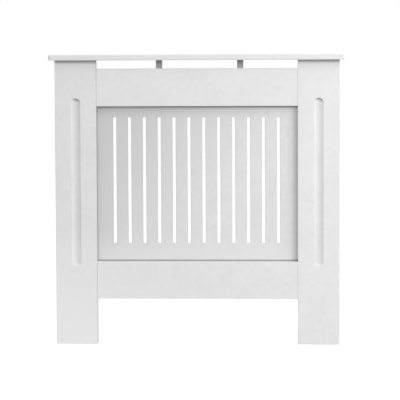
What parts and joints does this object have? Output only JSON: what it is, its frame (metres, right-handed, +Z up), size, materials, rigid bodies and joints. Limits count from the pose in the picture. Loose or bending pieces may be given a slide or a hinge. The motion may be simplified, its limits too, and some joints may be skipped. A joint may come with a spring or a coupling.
{
  "type": "radiator cover cabinet",
  "caption": "Open-backed painted board cabinet that stands over a wall radiator, with a slotted front grille and a shelf top.",
  "frame": {"origin": "on the floor, under the middle of the shelf", "axes": "+X to the right along the shelf, -Y out of the front, +Y into the wall, +Z up"},
  "size_m": [0.78, 0.19, 0.765],
  "materials": {
    "white_paint": "satin white paint on medium density fibreboard",
    "beech": "bare turned beech",
    "zinc_plate": "bright zinc plated steel",
    "zinc_cast": "dull die cast zinc alloy"
  },
  "bodies": {
    "root": {"grille_lower_left_screw": "zinc_plate", "grille_lower_middle_screw": "zinc_plate", "grille_lower_right_screw": "zinc_plate", "grille_panel": "white_paint", "grille_upper_left_screw": "zinc_plate", "grille_upper_middle_screw": "zinc_plate", "grille_upper_right_screw": "zinc_plate", "left_bracket_screw": "zinc_plate", "left_leg": "white_paint", "left_leg_lower_bolt": "zinc_plate", "left_leg_lower_cam": "zinc_cast", "left_leg_lower_dowel": "beech", "left_leg_shelf_dowel": "beech", "left_leg_upper_bolt": "zinc_plate", "left_leg_upper_cam": "zinc_cast", "left_leg_upper_dowel": "beech", "left_shelf_back_bolt": "zinc_plate", "left_shelf_back_cam": "zinc_cast", "left_shelf_back_dowel": "beech", "left_shelf_front_bolt": "zinc_plate", "left_shelf_front_cam": "zinc_cast", "left_shelf_front_dowel": "beech", "left_shelf_support": "white_paint", "left_side_panel": "white_paint", "left_support_lower_screw": "zinc_plate", "left_support_upper_screw": "zinc_plate", "left_wall_bracket": "zinc_plate", "lower_rail": "white_paint", "lower_rail_left_lower_dowel": "beech", "lower_rail_left_upper_dowel": "beech", "lower_rail_right_lower_dowel": "beech", "lower_rail_right_upper_dowel": "beech", "right_bracket_screw": "zinc_plate", "right_leg": "white_paint", "right_leg_lower_bolt": "zinc_plate", "right_leg_lower_cam": "zinc_cast", "right_leg_lower_dowel": "beech", "right_leg_shelf_dowel": "beech", "right_leg_upper_bolt": "zinc_plate", "right_leg_upper_cam": "zinc_cast", "right_leg_upper_dowel": "beech", "right_shelf_back_bolt": "zinc_plate", "right_shelf_back_cam": "zinc_cast", "right_shelf_back_dowel": "beech", "right_shelf_front_bolt": "zinc_plate", "right_shelf_front_cam": "zinc_cast", "right_shelf_front_dowel": "beech", "right_shelf_support": "white_paint", "right_side_panel": "white_paint", "right_support_lower_screw": "zinc_plate", "right_support_upper_screw": "zinc_plate", "right_wall_bracket": "zinc_plate", "top_shelf": "white_paint", "upper_rail": "white_paint", "upper_rail_left_lower_dowel": "beech", "upper_rail_left_upper_dowel": "beech", "upper_rail_right_lower_dowel": "beech", "upper_rail_right_upper_dowel": "beech"}
  },
  "joints": []
}
